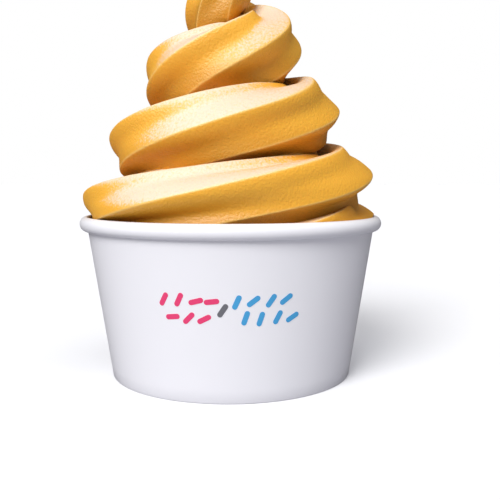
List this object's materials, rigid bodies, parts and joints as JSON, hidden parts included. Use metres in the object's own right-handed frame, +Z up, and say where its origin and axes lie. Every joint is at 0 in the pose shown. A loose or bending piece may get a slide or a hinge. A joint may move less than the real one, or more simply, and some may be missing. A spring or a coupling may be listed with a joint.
{
  "type": "frozen yogurt cup",
  "caption": "White paper cup with a rolled rim, filled with golden frozen yogurt piped into a tall ridged swirl that ends in a curled tip.",
  "frame": {"origin": "on the surface that the cup stands on, at the middle of the cup's foot", "axes": "+Z up the cup's axis to the swirl's tip; -Y is the side that the picture shows, +X is its right"},
  "size_m": [0.096, 0.096, 0.1437],
  "materials": {
    "paper": "smooth satin white coated paper",
    "yogurt": "soft satin frozen yogurt with a fine grain"
  },
  "bodies": {
    "root": {"cup_wall": "paper", "cup_base": "paper", "yogurt": "yogurt"}
  },
  "joints": []
}
